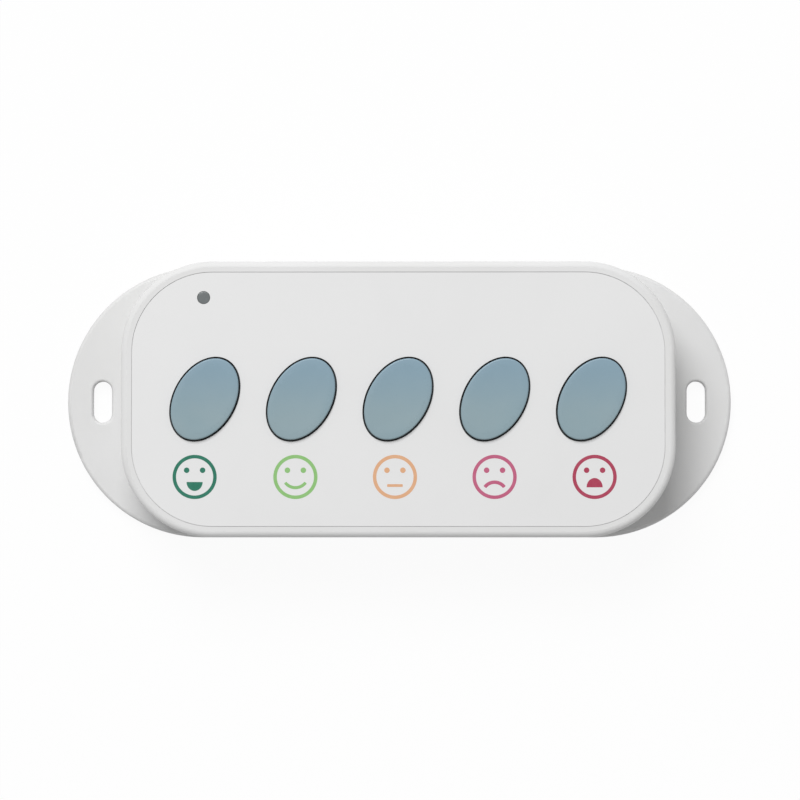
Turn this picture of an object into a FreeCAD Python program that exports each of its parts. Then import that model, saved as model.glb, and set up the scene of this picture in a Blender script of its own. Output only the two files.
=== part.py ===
import FreeCAD, Part
import math
import os

# Customer feedback terminal: a shallow white housing with two screw ears, a printed face and a row
# of five sprung oval rating keys, with two cells, a board, a radio and a sounder inside.
#
# Frame: X runs along the row of keys, Y up the face and Z out of it. The origin is the centre of
# the flat back, which is the face that lies on a counter or against a wall. Millimetres throughout.

V = FreeCAD.Vector
UP = V(0, 0, 1)
CELL_ROWS = (0, 1)

# ---------------------------------------------------------------- driving dimensions

# Housing
housing_height = 60.4         # along Y, and the ears are half circles of this height
ear_reach = 13.5              # each ear, beyond the cover
flange_thickness = 3.0        # the ears and the edge of the back
flange_front_round = 0.8
flange_back_chamfer = 0.3
cover_corner = 20.0           # corner radius at the seam
cover_wall = 2.2
cover_draft_deg = 0.5
cover_front_round = 1.3
cover_inner_chamfer = 1.0
cover_face_thickness = 2.0    # under the overlay
seam_chamfer = 0.3
shell_floor = 2.0             # back wall inside the lip
lip_thickness = 1.2           # upstand of the rear shell inside the cover's wall
lip_height = 3.0
lip_clearance = 0.2

# Screw slots in the ears, long way up
slot_width = 4.2
slot_length = 9.2
slot_margin = 7.75            # slot's centre to the ear's end
slot_front_round = 0.6
slot_back_chamfer = 0.3

# Printed overlay in its recess
overlay_margin = 2.6          # from the housing's edge to the overlay's edge
overlay_thickness = 0.25
overlay_recess = 0.3
overlay_clearance = 0.1

# Keys
key_count = 5
key_pitch = 21.0
key_end_margin = 18.5         # end keys' centres to the cover's ends
key_lean_deg = 30.0           # to the right of upright
key_length = 19.0
key_width = 13.0
key_crown = 1.4
key_skirt_wall = 1.5
key_edge_round = 0.3
key_edge_bands = 2            # bands that the round is cut in
key_proud = 1.0               # above the cover's rim, released
key_travel = 1.0
key_opening_gap = 0.45        # cap to cover, each side
key_overlay_gap = 0.4         # cap to overlay, each side
key_flange_width = 1.2        # retaining flange under the cover's face
key_flange_thickness = 1.0
key_flange_gap = 0.1          # flange to cover, released
key_pad_height = 0.4          # pad that bears on the switch
key_pad_diameter = 4.4
key_well_gap = 0.3            # flange to the well that guides it
key_well_wall = 1.0
key_well_lift = 0.6           # well to board

# Key switches
switch_side = 6.2
switch_body_height = 3.5
plunger_spare = 0.5           # plunger above its switch, fully pressed
switch_base_wall = 0.5
switch_top_wall = 0.4
switch_corner_chamfer = 0.5
plunger_diameter = 3.5
plunger_gap = 0.1
plunger_foot_diameter = 4.6
plunger_foot_height = 0.8

# Board
board_thickness = 1.6
board_clearance = 0.8         # board edge to the cover's wall
board_screw_margin = 6.0      # screws to the board's long edges
board_boss_diameter = 5.0
board_screw_diameter = 2.0
board_screw_length = 5.0
board_screw_head_diameter = 4.0
board_screw_head_height = 1.4

# Corner posts, and the screws that close the housing from the back
post_diameter = 7.0
post_margin = 0.3             # post to the lip
post_gap = 0.1                # shell's boss to the cover's post
post_notch_gap = 0.5          # post to board
post_rib_thickness = 1.2
cover_screw_diameter = 2.6
cover_screw_length = 14.0
cover_screw_head_diameter = 5.0
cover_screw_head_height = 1.8
counterbore_depth = 2.6
counterbore_gap = 0.4         # all round a screw head
screw_hole_gap = 0.2          # all round a shank that passes through
thread_gap = 0.05             # all round a shank in its pilot hole
pilot_spare = 1.2             # pilot hole beyond the screw's tip
screw_head_bevel = 1 / 3      # of a head's height

# Stiffening ribs behind the face
rib_thickness = 1.0
rib_depth = 1.5

# Cells and their holders (size AA)
cell_diameter = 14.5
cell_length = 50.5
cell_edge_chamfer = 0.5
cell_nub_diameter = 5.5
cell_nub_length = 1.0
cell_floor_gap = 0.5          # cell to the rear shell
cell_pitch = 17.5
holder_floor = 1.0
holder_wall = 1.05
holder_end_wall = 1.5
holder_clearance = 0.2
holder_wrap = 3.2             # walls past the cell's widest place
holder_window = 24.0          # finger window in the side walls
contact_thickness = 0.4
contact_width = 8.0
contact_height = 11.0
contact_bow = 1.2             # how far the spring contact stands off its strip
contact_bow_height = 9.0
contact_tail_width = 2.0
contact_slot_gap = 0.1
cradle_width = 11.0           # ribs of the rear shell under each cell
cradle_thickness = 1.2
cradle_spacing = 17.0
cradle_count = 3

# Status light
led_margin_x = 15.6           # from the overlay's left edge
led_margin_y = 5.5            # from the overlay's upper edge
led_side = 3.5
led_height = 1.9
led_cup_diameter = 2.6
led_cup_depth = 0.6
window_diameter = 2.75
window_gap = 0.05
window_collar_diameter = 4.6
window_collar_height = 0.8
window_led_gap = 0.4

# Parts on the back of the board, in the bays beyond the ends of the holders
buzzer_y = -7.0
buzzer_diameter = 12.0
buzzer_height = 5.4
buzzer_port_diameter = 2.0
buzzer_port_depth = 2.0
buzzer_chamfer = 0.5
header_y = 9.0
header_pins = 4
header_pitch = 2.54
header_pin_side = 0.64
header_pin_length = 6.0
radio_y = -1.0
radio_length = 16.0
radio_height = 22.0
radio_thickness = 0.8
shield_length = 13.6
shield_height = 15.0
shield_thickness = 2.0
shield_chamfer = 0.4
antenna_diameter = 1.0
antenna_length = 82.0         # a quarter wave at 868 to 915 MHz
antenna_bend = 3.0
antenna_edge = 2.2            # wire to the board's upper edge

# ---------------------------------------------------------------- derived places

cover_length = (key_count - 1) * key_pitch + 2 * key_end_margin
ear_span = cover_length + 2 * ear_reach
slot_x = ear_span / 2 - slot_margin
seam_z = flange_thickness
lip_top_z = flange_thickness + lip_height
cell_axis_z = shell_floor + cell_floor_gap + cell_diameter / 2
board_back_z = cell_axis_z + cell_diameter / 2 + holder_floor
board_front_z = board_back_z + board_thickness
switch_top_z = board_front_z + switch_body_height
plunger_top_z = switch_top_z + key_travel + plunger_spare
key_crown_back_z = plunger_top_z + key_pad_height
key_top_z = key_crown_back_z + key_crown
front_z = key_top_z - key_proud
overlay_back_z = front_z - overlay_recess
overlay_front_z = overlay_back_z + overlay_thickness
face_back_z = overlay_back_z - cover_face_thickness
key_flange_front_z = face_back_z - key_flange_gap
key_back_z = key_flange_front_z - key_flange_thickness
key_well_back_z = board_front_z + key_well_lift

key_half_length = key_length / 2
key_half_width = key_width / 2
key_well_growth = key_flange_width + key_well_gap + key_well_wall
board_inset = cover_wall + board_clearance
board_end_x = cover_length / 2 - board_inset
board_edge_y = housing_height / 2 - board_inset
led_x = overlay_margin + led_margin_x - cover_length / 2
led_y = housing_height / 2 - overlay_margin - led_margin_y

# Corner posts stand on the diagonals of the corners, just inside the lip
post_reach = cover_corner - cover_wall - lip_clearance - lip_thickness - post_margin - post_diameter / 2
post_x = cover_length / 2 - cover_corner + post_reach * math.sqrt(0.5)
post_y = housing_height / 2 - cover_corner + post_reach * math.sqrt(0.5)
cover_screw_tip_z = counterbore_depth + cover_screw_length

# Board screws stand between the outer two keys on each side
board_screw_x = key_pitch * (key_count / 2 - 1)
board_screw_y = board_edge_y - board_screw_margin

holder_inner_length = cell_length + 2 * contact_thickness + contact_bow
holder_half_width = cell_diameter / 2 + holder_clearance + holder_wall
holder_back_z = cell_axis_z - holder_wrap
holder_end_x = holder_inner_length / 2 + holder_end_wall
cell_plus_end_x = holder_inner_length / 2 - contact_thickness
bay_x = (holder_end_x + board_end_x) / 2


# ---------------------------------------------------------------- helpers

def rounded_outline(length, height, radius, z):
    """A closed rounded rectangle about the Z axis, or a stadium where the corners meet."""
    x = length / 2 - radius
    y = height / 2 - radius
    edges = []
    for quarter, (cx, cy) in enumerate(((x, y), (-x, y), (-x, -y), (x, -y))):
        centre = V(cx, cy, z)
        turn = [V(math.cos(a), math.sin(a), 0) * radius
                for a in (math.radians(90 * quarter + 45 * step) for step in range(3))]
        start, middle, end = (centre + t for t in turn)
        if edges and (start - corner_end).Length > 1e-6:
            edges.append(Part.makeLine(corner_end, start))
        edges.append(Part.Arc(start, middle, end).toShape())
        corner_end = end
    first = edges[0].firstVertex(True).Point
    if (first - corner_end).Length > 1e-6:
        edges.append(Part.makeLine(corner_end, first))
    return Part.Wire(edges)


def cover_outline(inset, z):
    """The housing's outline at the seam, moved in by an inset."""
    return rounded_outline(cover_length - 2 * inset, housing_height - 2 * inset,
                           cover_corner - inset, z)


def drafted_solid(inset, bottom_z, top_z):
    """A solid between two heights of the drafted cover, moved in by an inset."""
    slope = math.tan(math.radians(cover_draft_deg))
    outlines = [cover_outline(inset + (z - seam_z) * slope, z) for z in (bottom_z, top_z)]
    return Part.makeLoft(outlines, True, True)


def prism(outline, top_z):
    """A straight solid from a closed outline up to a height."""
    return Part.Face(outline).extrude(UP * (top_z - outline.BoundBox.ZMin))


def box(length, width, bottom_z, top_z, x=0.0, y=0.0):
    """A block centred on (x, y) between two heights."""
    return Part.makeBox(length, width, top_z - bottom_z, V(x - length / 2, y - width / 2, bottom_z))


def cylinder(diameter, bottom_z, top_z, x=0.0, y=0.0):
    """An upright cylinder on (x, y) between two heights."""
    return Part.makeCylinder(diameter / 2, top_z - bottom_z, V(x, y, bottom_z))


def rod_along_x(diameter, start_x, end_x, z):
    """A cylinder along X at a height."""
    return Part.makeCylinder(diameter / 2, end_x - start_x, V(start_x, 0, z), V(1, 0, 0))


def oval_outline(growth, z):
    """The key cap's leaning oval about the Z axis, grown all round."""
    oval = Part.Wire(Part.Ellipse(V(0, 0, z), key_half_length + growth, key_half_width + growth).toShape())
    return oval.rotate(V(0, 0, 0), UP, 90 - key_lean_deg)


def oval_prism(growth, bottom_z, top_z):
    """An upright solid from the key cap's oval, grown all round."""
    return prism(oval_outline(growth, bottom_z), top_z)


def edges_at(shape, z):
    """The edges of a shape that lie flat at a height."""
    return [e for e in shape.Edges
            if abs(e.BoundBox.ZMin - z) < 1e-4 and abs(e.BoundBox.ZMax - z) < 1e-4]


def edges_near(edges, x, y, reach):
    """Those edges that stay within a reach of (x, y)."""
    return [e for e in edges
            if max(abs(e.BoundBox.XMin - x), abs(e.BoundBox.XMax - x),
                   abs(e.BoundBox.YMin - y), abs(e.BoundBox.YMax - y)) < reach]


def moved(shape, x=0.0, y=0.0, z=0.0):
    """A copy of a shape, moved."""
    copy = shape.copy()
    copy.translate(V(x, y, z))
    return copy


def four_places(x, y):
    """The four mirror places of (x, y)."""
    return [(sx * x, sy * y) for sx in (-1, 1) for sy in (-1, 1)]


def key_places():
    """The centres of the keys along the row."""
    return [(k - (key_count - 1) / 2) * key_pitch for k in range(key_count)]


def pan_head_screw(diameter, length, head_diameter, head_height):
    """A screw that points up, with its head's seat at the origin."""
    head = cylinder(head_diameter, -head_height, 0)
    head = head.makeChamfer(head_height * screw_head_bevel, edges_at(head, -head_height))
    return head.fuse(cylinder(diameter - 2 * thread_gap, 0, length))


# ---------------------------------------------------------------- housing

def rear_shell():
    """Flat back with the two slotted ears, the lip, the screw bosses and the cell cradles."""
    plate = prism(rounded_outline(ear_span, housing_height, housing_height / 2, 0), flange_thickness)
    plate = plate.makeFillet(flange_front_round, edges_at(plate, flange_thickness))
    plate = plate.makeChamfer(flange_back_chamfer, edges_at(plate, 0))
    for side in (-1, 1):
        plate = plate.cut(moved(prism(rounded_outline(slot_width, slot_length, slot_width / 2, 0),
                                      flange_thickness), side * slot_x))
    plate = plate.makeFillet(slot_front_round, slot_rims(plate, flange_thickness))
    plate = plate.makeChamfer(slot_back_chamfer, slot_rims(plate, 0))

    lip_inset = cover_wall + lip_clearance
    pocket_inset = lip_inset + lip_thickness
    lip = prism(cover_outline(lip_inset, shell_floor), lip_top_z)
    shell = plate.fuse(lip).cut(prism(cover_outline(pocket_inset, shell_floor), lip_top_z))
    bosses = [cylinder(post_diameter, shell_floor, lip_top_z, x, y) for x, y in four_places(post_x, post_y)]
    shell = shell.fuse(bosses + cell_cradles())
    for x, y in four_places(post_x, post_y):
        bore = cylinder(cover_screw_diameter + 2 * screw_hole_gap, 0, lip_top_z, x, y)
        recess = cylinder(cover_screw_head_diameter + 2 * counterbore_gap, 0, counterbore_depth, x, y)
        shell = shell.cut([bore, recess])
    return shell.removeSplitter()


def slot_rims(plate, z):
    """The edges of both screw slots at a height."""
    return [edge for side in (-1, 1)
            for edge in edges_near(edges_at(plate, z), side * slot_x, 0, slot_length)]


def cell_cradles():
    """Curved ribs on the floor of the rear shell that the cells lie in."""
    cradles = []
    for y in (-cell_pitch / 2, cell_pitch / 2):
        for k in range(cradle_count):
            x = (k - (cradle_count - 1) / 2) * cradle_spacing
            rib = box(cradle_thickness, cradle_width, shell_floor, cell_axis_z, x)
            bed = rod_along_x(cell_diameter + 2 * holder_clearance, -ear_span / 2, ear_span / 2, cell_axis_z)
            cradles.append(moved(rib.cut(bed), 0, y))
    return cradles


def front_cover():
    """Drafted cover with the overlay recess, key openings and wells, posts, bosses and ribs."""
    shell = drafted_solid(0, seam_z, front_z)
    shell = shell.makeFillet(cover_front_round, edges_at(shell, front_z))
    shell = shell.makeChamfer(seam_chamfer, edges_at(shell, seam_z))
    cavity = drafted_solid(cover_wall, seam_z, face_back_z)
    cavity = cavity.makeChamfer(cover_inner_chamfer, edges_at(cavity, face_back_z))
    inside = key_wells() + corner_posts(cavity) + board_bosses() + face_ribs()
    cover = shell.cut(cavity).fuse(inside)

    recess = prism(cover_outline(overlay_margin - overlay_clearance, overlay_back_z), front_z)
    openings = [moved(oval_prism(key_opening_gap, face_back_z, front_z), x) for x in key_places()]
    window = cylinder(window_diameter + 2 * window_gap, face_back_z, front_z, led_x, led_y)
    cover = cover.cut([recess, window] + openings + pilot_holes())
    return cover.removeSplitter()


def key_wells():
    """Oval wells behind the face, which guide the flange of each key."""
    outer = oval_prism(key_well_growth, key_well_back_z, face_back_z)
    inner = oval_prism(key_well_growth - key_well_wall, key_well_back_z, face_back_z)
    return [moved(outer.cut(inner), x) for x in key_places()]


def corner_posts(cavity):
    """Posts for the closing screws, each tied to its corner by a rib."""
    foot_z = lip_top_z + post_gap
    posts = [cylinder(post_diameter, foot_z, face_back_z, x, y) for x, y in four_places(post_x, post_y)]
    ribs = [corner_web(x, y, post_rib_thickness, foot_z, face_back_z).common(cavity)
            for x, y in four_places(post_x, post_y)]
    return posts + ribs


def corner_web(x, y, thickness, bottom_z, top_z):
    """A wall from a corner post's centre out along the corner's diagonal."""
    reach = cover_corner - post_reach
    web = box(reach, thickness, bottom_z, top_z, reach / 2)
    web.rotate(V(0, 0, 0), UP, math.degrees(math.atan2(math.copysign(1, y), math.copysign(1, x))))
    return moved(web, x, y)


def board_bosses():
    """Short bosses that the board is screwed to."""
    return [cylinder(board_boss_diameter, board_front_z, face_back_z, x, y)
            for x, y in four_places(board_screw_x, board_screw_y)]


def face_ribs():
    """Two long ribs along the wells, which stiffen the face between the corner posts."""
    lean = math.radians(key_lean_deg)
    well_reach = math.hypot((key_half_length + key_well_growth) * math.cos(lean),
                            (key_half_width + key_well_growth) * math.sin(lean))
    return [box(2 * post_x, rib_thickness, face_back_z - rib_depth, face_back_z, 0, side * well_reach)
            for side in (-1, 1)]


def pilot_holes():
    """Pilot holes for the closing screws and the board screws."""
    holes = [cylinder(cover_screw_diameter, lip_top_z, cover_screw_tip_z + pilot_spare, x, y)
             for x, y in four_places(post_x, post_y)]
    tip_z = board_back_z + board_screw_length
    holes += [cylinder(board_screw_diameter, board_front_z, tip_z, x, y)
              for x, y in four_places(board_screw_x, board_screw_y)]
    return holes


def front_overlay():
    """Thin printed sheet in the cover's recess, with openings for the keys and the light."""
    sheet = prism(cover_outline(overlay_margin, overlay_back_z), overlay_front_z)
    openings = [moved(oval_prism(key_overlay_gap, overlay_back_z, overlay_front_z), x) for x in key_places()]
    window = cylinder(window_diameter + 2 * window_gap, overlay_back_z, overlay_front_z, led_x, led_y)
    return sheet.cut(openings + [window])


def light_pipe():
    """Smoked window over the status light, with a collar behind the face."""
    stem_back_z = board_front_z + led_height + window_led_gap
    stem = cylinder(window_diameter, stem_back_z, overlay_front_z, led_x, led_y)
    collar = cylinder(window_collar_diameter, face_back_z - window_collar_height, face_back_z, led_x, led_y)
    return stem.fuse(collar)


def cover_screws():
    """The four screws that close the housing from the back."""
    screw = pan_head_screw(cover_screw_diameter, cover_screw_length,
                           cover_screw_head_diameter, cover_screw_head_height)
    return Part.makeCompound([moved(screw, x, y, counterbore_depth)
                              for x, y in four_places(post_x, post_y)])


# ---------------------------------------------------------------- keys

def key_cap(x):
    """Hollow oval cap with a retaining flange, and a pad that bears on its switch."""
    outlines = [oval_outline(0, key_back_z)]
    for band in range(key_edge_bands + 1):
        turn = math.radians(90 * band / key_edge_bands)
        outlines.append(oval_outline(key_edge_round * (math.cos(turn) - 1),
                                     key_top_z + key_edge_round * (math.sin(turn) - 1)))
    cap = Part.makeLoft(outlines, True, True)
    cap = cap.fuse(oval_prism(key_flange_width, key_back_z, key_flange_front_z))
    cap = cap.cut(oval_prism(-key_skirt_wall, key_back_z, key_crown_back_z))
    cap = cap.fuse(cylinder(key_pad_diameter, plunger_top_z, key_crown_back_z))
    return moved(cap.removeSplitter(), x)


def key_switch(x):
    """Square body of a key switch, hollow for its plunger."""
    body = box(switch_side, switch_side, board_front_z, switch_top_z)
    upright = [e for e in body.Edges if e.BoundBox.ZLength > switch_body_height / 2]
    body = body.makeChamfer(switch_corner_chamfer, upright)
    chamber = cylinder(plunger_foot_diameter + 2 * plunger_gap,
                       board_front_z + switch_base_wall, switch_top_z - switch_top_wall)
    throat = cylinder(plunger_diameter + 2 * plunger_gap, board_front_z + switch_base_wall, switch_top_z)
    return moved(body.cut([chamber, throat]), x)


def switch_plunger(x):
    """Round plunger with a foot that keeps it in its switch."""
    foot_top_z = switch_top_z - switch_top_wall - plunger_gap
    stem = cylinder(plunger_diameter, foot_top_z - plunger_foot_height, plunger_top_z)
    foot = cylinder(plunger_foot_diameter, foot_top_z - plunger_foot_height, foot_top_z)
    return moved(stem.fuse(foot), x)


# ---------------------------------------------------------------- board and what it carries

def main_board():
    """Circuit board with notches for the corner posts and their ribs, and holes for its screws."""
    board = prism(cover_outline(board_inset, board_back_z), board_front_z)
    notches = [cylinder(post_diameter + 2 * post_notch_gap, board_back_z, board_front_z, x, y)
               for x, y in four_places(post_x, post_y)]
    notches += [corner_web(x, y, post_rib_thickness + 2 * post_notch_gap, board_back_z, board_front_z)
                for x, y in four_places(post_x, post_y)]
    holes = [cylinder(board_screw_diameter + 2 * screw_hole_gap, board_back_z, board_front_z, x, y)
             for x, y in four_places(board_screw_x, board_screw_y)]
    return board.cut(notches + holes)


def board_screws():
    """The four screws that hold the board to the cover."""
    screw = pan_head_screw(board_screw_diameter, board_screw_length,
                           board_screw_head_diameter, board_screw_head_height)
    return Part.makeCompound([moved(screw, x, y, board_back_z)
                              for x, y in four_places(board_screw_x, board_screw_y)])


def status_led():
    """Surface-mounted light with a round cup, under the light pipe."""
    body = box(led_side, led_side, board_front_z, board_front_z + led_height, led_x, led_y)
    cup = cylinder(led_cup_diameter, board_front_z + led_height - led_cup_depth,
                   board_front_z + led_height, led_x, led_y)
    return body.cut(cup)


def buzzer():
    """Round sounder with a port in its lid."""
    can = cylinder(buzzer_diameter, board_back_z - buzzer_height, board_back_z, bay_x, buzzer_y)
    lid_z = board_back_z - buzzer_height
    can = can.makeChamfer(buzzer_chamfer, edges_at(can, lid_z))
    return can.cut(cylinder(buzzer_port_diameter, lid_z, lid_z + buzzer_port_depth, bay_x, buzzer_y))


def service_header():
    """Pin header for service, on the back of the board."""
    base = box(header_pins * header_pitch, header_pitch, board_back_z - header_pitch, board_back_z,
               bay_x, header_y)
    pins = [box(header_pin_side, header_pin_side, board_back_z - header_pitch - header_pin_length,
                board_back_z - header_pitch, bay_x + (k - (header_pins - 1) / 2) * header_pitch, header_y)
            for k in range(header_pins)]
    return base.fuse(pins)


def radio_module():
    """Small board of the radio."""
    return box(radio_length, radio_height, board_back_z - radio_thickness, board_back_z, -bay_x, radio_y)


def radio_shield():
    """Screening can on the radio."""
    top_z = board_back_z - radio_thickness
    can = box(shield_length, shield_height, top_z - shield_thickness, top_z, -bay_x, radio_y)
    outer = [e for e in can.Edges if e.BoundBox.ZMin < top_z - shield_chamfer]
    return can.makeChamfer(shield_chamfer, outer)


def antenna_wire():
    """Wire antenna from the radio's edge up the board and along its upper edge."""
    wire_z = board_back_z - antenna_diameter / 2
    start = V(-bay_x, radio_y + radio_height / 2, wire_z)
    turn_y = board_edge_y - antenna_edge
    rise = turn_y - start.y - antenna_bend
    run = antenna_length - rise - antenna_bend * math.pi / 2
    centre = V(start.x + antenna_bend, turn_y - antenna_bend, wire_z)
    bend_start = centre + V(-antenna_bend, 0, 0)
    bend_end = centre + V(0, antenna_bend, 0)
    middle = centre + V(-math.sqrt(0.5), math.sqrt(0.5), 0) * antenna_bend
    path = Part.Wire([Part.makeLine(start, bend_start),
                      Part.Arc(bend_start, middle, bend_end).toShape(),
                      Part.makeLine(bend_end, bend_end + V(run, 0, 0))])
    section = Part.Wire(Part.makeCircle(antenna_diameter / 2, start, V(0, 1, 0)))
    return path.makePipeShell([section], True, True)


# ---------------------------------------------------------------- cells and holders

def place_cell_part(shape, row):
    """Puts a part of the cell set in its row: 0 as it is, 1 turned end for end in the other row."""
    placed = shape.copy()
    placed.rotate(V(0, 0, 0), UP, 180 * row)
    return moved(placed, 0, (0.5 - row) * cell_pitch)


def aa_cell():
    """One cell, with its plus end to the right."""
    minus_end_x = cell_plus_end_x - cell_length
    shoulder_x = cell_plus_end_x - cell_nub_length
    can = rod_along_x(cell_diameter, minus_end_x, shoulder_x, cell_axis_z)
    rims = [e for e in can.Edges if e.BoundBox.XLength < 1e-4]
    can = can.makeChamfer(cell_edge_chamfer, rims)
    return can.fuse(rod_along_x(cell_nub_diameter, shoulder_x, cell_plus_end_x, cell_axis_z))


def contact_tail(wall_x, growth=0.0):
    """The solder tail of a contact, from its strip to the board."""
    return box(contact_thickness + 2 * growth, contact_tail_width + 2 * growth,
               cell_axis_z + contact_height / 2 - contact_thickness, board_back_z, wall_x)


def battery_holder():
    """Open cage for one cell, whose walls wrap round it, with windows to reach it."""
    cage = box(2 * holder_end_x, 2 * holder_half_width, holder_back_z, board_back_z)
    bed = rod_along_x(cell_diameter + 2 * holder_clearance,
                      -holder_inner_length / 2, holder_inner_length / 2, cell_axis_z)
    window = box(holder_window, 2 * holder_half_width, holder_back_z, cell_axis_z + holder_wrap)
    mid_strip_x = (holder_inner_length - contact_thickness) / 2
    tails = [contact_tail(side * mid_strip_x, contact_slot_gap) for side in (-1, 1)]
    return cage.cut([bed, window] + tails)


def plate_contact():
    """Flat contact at the plus end."""
    strip_x = (holder_inner_length - contact_thickness) / 2
    strip = box(contact_thickness, contact_width, cell_axis_z - contact_height / 2,
                cell_axis_z + contact_height / 2, strip_x)
    return strip.fuse(contact_tail(strip_x))


def spring_contact():
    """Bowed contact at the minus end, which presses the cell against the other one."""
    strip_x = (contact_thickness - holder_inner_length) / 2
    strip = box(contact_thickness, contact_width, cell_axis_z - contact_height / 2,
                cell_axis_z + contact_height / 2, strip_x)
    face_x = strip_x + contact_thickness / 2
    outer = (contact_bow_height ** 2 / 4 + contact_bow ** 2) / (2 * contact_bow)
    axis = V(face_x + contact_bow - outer, -contact_width / 2, cell_axis_z)
    bow = Part.makeCylinder(outer, contact_width, axis, V(0, 1, 0))
    bow = bow.cut(Part.makeCylinder(outer - contact_thickness, contact_width, axis, V(0, 1, 0)))
    reach = box(contact_bow + contact_thickness / 2, contact_width, cell_axis_z - outer, cell_axis_z + outer,
                face_x + (contact_bow - contact_thickness / 2) / 2)
    return strip.fuse(bow.common(reach)).fuse(contact_tail(strip_x))


# ---------------------------------------------------------------- all pieces

def pieces():
    """Every piece of the terminal by name."""
    made = {
        "rear_shell": rear_shell(),
        "front_cover": front_cover(),
        "front_overlay": front_overlay(),
        "light_pipe": light_pipe(),
        "cover_screws": cover_screws(),
        "main_board": main_board(),
        "board_screws": board_screws(),
        "status_led": status_led(),
        "buzzer": buzzer(),
        "service_header": service_header(),
        "radio_module": radio_module(),
        "radio_shield": radio_shield(),
        "antenna_wire": antenna_wire(),
        "plate_contacts": Part.makeCompound([place_cell_part(plate_contact(), row) for row in CELL_ROWS]),
        "spring_contacts": Part.makeCompound([place_cell_part(spring_contact(), row) for row in CELL_ROWS]),
    }
    for row in CELL_ROWS:
        made["battery_holder_%d" % (row + 1)] = place_cell_part(battery_holder(), row)
        made["aa_cell_%d" % (row + 1)] = place_cell_part(aa_cell(), row)
    for number, x in enumerate(key_places(), start=1):
        made["key_cap_%d" % number] = key_cap(x)
        made["key_switch_%d" % number] = key_switch(x)
        made["switch_plunger_%d" % number] = switch_plunger(x)
    return made


os.makedirs("parts", exist_ok=True)
for name, shape in pieces().items():
    shape.exportStep("parts/%s.step" % name)
    print("%-18s %d solid(s) %10.2f mm3 valid %s" % (name, len(shape.Solids), shape.Volume, shape.isValid()))
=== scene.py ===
"""Looks of a customer feedback terminal: a white housing with two ears, a printed film and five oval keys.

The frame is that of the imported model, in metres: X along the row of keys, Y up the face, Z out of it. The
sizes that the classes hold are in millimetres, unless they say otherwise.
"""

import logging
import math
from dataclasses import dataclass, replace
from enum import Enum
from typing import ClassVar

import bmesh
import bpy
from mathutils import Matrix, Vector


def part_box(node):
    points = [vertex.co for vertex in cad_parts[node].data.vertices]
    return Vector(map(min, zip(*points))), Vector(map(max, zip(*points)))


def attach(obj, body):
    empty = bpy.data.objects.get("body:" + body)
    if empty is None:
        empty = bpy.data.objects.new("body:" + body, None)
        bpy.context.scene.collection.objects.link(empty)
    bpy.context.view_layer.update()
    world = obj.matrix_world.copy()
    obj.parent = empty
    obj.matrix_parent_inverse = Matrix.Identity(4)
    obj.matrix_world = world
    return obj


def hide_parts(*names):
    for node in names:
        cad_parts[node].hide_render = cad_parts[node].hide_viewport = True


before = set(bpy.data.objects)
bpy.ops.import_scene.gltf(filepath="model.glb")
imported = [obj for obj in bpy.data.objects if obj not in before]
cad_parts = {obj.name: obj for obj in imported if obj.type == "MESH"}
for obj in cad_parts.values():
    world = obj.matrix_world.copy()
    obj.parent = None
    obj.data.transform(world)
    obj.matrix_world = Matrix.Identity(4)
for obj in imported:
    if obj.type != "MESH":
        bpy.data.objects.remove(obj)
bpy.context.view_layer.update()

LOG = logging.getLogger("feedback_terminal")
MM = 0.001
KEY_NUMBERS = (1, 2, 3, 4, 5)
SHARP_EDGE_DEGREES = 32
MERGE_DISTANCE = 1e-7

Rgb = tuple[int, int, int]
Rgba = tuple[float, float, float, float]
Socket = bpy.types.NodeSocket
Feed = Socket | float | tuple[float, ...]
Mesh = bmesh.types.BMesh

BLACK: Rgba = (0.0, 0.0, 0.0, 1.0)
WHITE: Rgba = (1.0, 1.0, 1.0, 1.0)


# ---------------------------------------------------------------- colours and node trees

def linear(colour: Rgb) -> Rgba:
    """Turns a colour of 0 to 255 into the linear colour that shaders take.

    Args:
        colour: Red, green and blue as a paint chart gives them.

    Returns:
        The linear colour, with an alpha of 1.
    """
    parts = (c / 255 for c in colour)
    r, g, b = (p / 12.92 if p <= 0.04045 else ((p + 0.055) / 1.055) ** 2.4 for p in parts)
    return r, g, b, 1.0


def per_metre(size_mm: float) -> float:
    """Scale of a texture whose cells are this many millimetres wide."""
    return 1 / (size_mm * MM)


class Axis(Enum):
    """A direction of the terminal's frame."""

    X = "X"
    Y = "Y"
    Z = "Z"


class Effect(Enum):
    """Surface effects that finishes share, each one node group."""

    GRAIN = "moulded_grain"
    DRIFT = "tone_drift"
    MARKS = "handling_marks"
    STROKES = "drawn_metal"


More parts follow.
